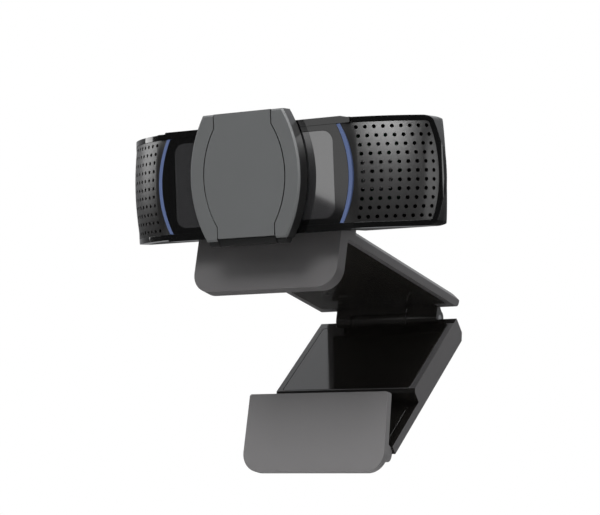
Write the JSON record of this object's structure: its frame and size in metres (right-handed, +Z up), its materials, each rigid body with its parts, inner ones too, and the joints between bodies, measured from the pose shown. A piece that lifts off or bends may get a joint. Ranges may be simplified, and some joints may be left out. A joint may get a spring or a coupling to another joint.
{
  "type": "web camera on a folding clip",
  "caption": "Web camera with perforated side grilles and a hinged privacy cover, on a folding clip with a hooked lip, a leg and a hinged foot.",
  "frame": {"origin": "middle of the clip arm's underside, where the top edge of a monitor rests", "axes": "+X to the right of someone facing the lens, -Y out of the front of the camera, +Z up"},
  "size_m": [0.0908, 0.085, 0.0809],
  "materials": {
    "gloss_black": "high gloss",
    "shell_black": "satin",
    "face_grey": "satin",
    "strip_blue": "satin, translucent",
    "grille_dark": "satin",
    "lens_black": "matt",
    "lens_glass": "clear, coated",
    "actuator_black": "matt",
    "filter_glass": "clear",
    "sensor_silicon": "polished",
    "board_green": "satin",
    "chip_black": "matt",
    "connector_white": "matt",
    "rubber_black": "matt",
    "microphone_metal": "satin",
    "screw_steel": "zinc plated",
    "cover_grey": "matt, lightly textured",
    "pin_steel": "ground",
    "adhesive_black": "matt",
    "clip_grey": "satin",
    "clip_panel": "gloss",
    "bracket_black": "satin",
    "washer_steel": "satin",
    "nut_brass": "turned",
    "foot_grey": "matt"
  },
  "bodies": {
    "clip_arm": {"clip_arm": "clip_grey", "arm_panel": "clip_panel", "tilt_bracket": "bracket_black", "tilt_pin": "pin_steel", "tilt_washers": "washer_steel", "bracket_screws": "screw_steel", "hinge_pin": "pin_steel"},
    "head": {"front_frame": "gloss_black", "rear_shell": "shell_black", "front_panel": "gloss_black", "face_plate": "face_grey", "left_light_strip": "strip_blue", "right_light_strip": "strip_blue", "left_grille": "grille_dark", "right_grille": "grille_dark", "lens_ring": "lens_black", "focus_actuator": "actuator_black", "filter_frame": "lens_black", "infrared_filter": "filter_glass", "image_sensor": "sensor_silicon", "main_board": "board_green", "video_chip": "chip_black", "cable_connector": "connector_white", "cable_grommet": "rubber_black", "left_mic_boot": "rubber_black", "right_mic_boot": "rubber_black", "left_microphone": "microphone_metal", "right_microphone": "microphone_metal", "left_light_board": "board_green", "right_light_board": "board_green", "board_screws": "screw_steel", "cover_frame": "cover_grey", "cover_pin": "pin_steel", "cover_adhesive": "adhesive_black"},
    "lens": {"lens_barrel": "lens_black", "front_lens": "lens_glass", "rear_lens": "lens_glass"},
    "cover_door": {"cover_door": "cover_grey"},
    "clip_leg": {"clip_leg": "clip_grey", "leg_panel": "clip_panel", "leg_low_panel": "clip_panel", "tripod_nut": "nut_brass"},
    "clip_foot": {"clip_foot": "foot_grey", "foot_pin": "pin_steel"}
  },
  "joints": [
    {"name": "head_tilt", "type": "hinge", "parent": "clip_arm", "child": "head", "pos_m": [0, -0.0092, 0.00597], "axis": [1, 0, 0], "range_deg": [-37, 5]},
    {"name": "cover_door", "type": "hinge", "parent": "head", "child": "cover_door", "pos_m": [0, -0.02639, -0.00259], "axis": [1, 0, 0], "range_deg": [0, 175]},
    {"name": "focus", "type": "slide", "parent": "head", "child": "lens", "axis": [0, -0.9573, -0.289], "range_m": [0, 0.0003]},
    {"name": "leg", "type": "hinge", "parent": "clip_arm", "child": "clip_leg", "pos_m": [0, 0.0442, -0.0026], "axis": [1, 0, 0], "range_deg": [-40, 42]},
    {"name": "foot", "type": "hinge", "parent": "clip_leg", "child": "clip_foot", "pos_m": [0, 0.01571, -0.04628], "axis": [1, 0, 0], "range_deg": [-40, 35]}
  ]
}
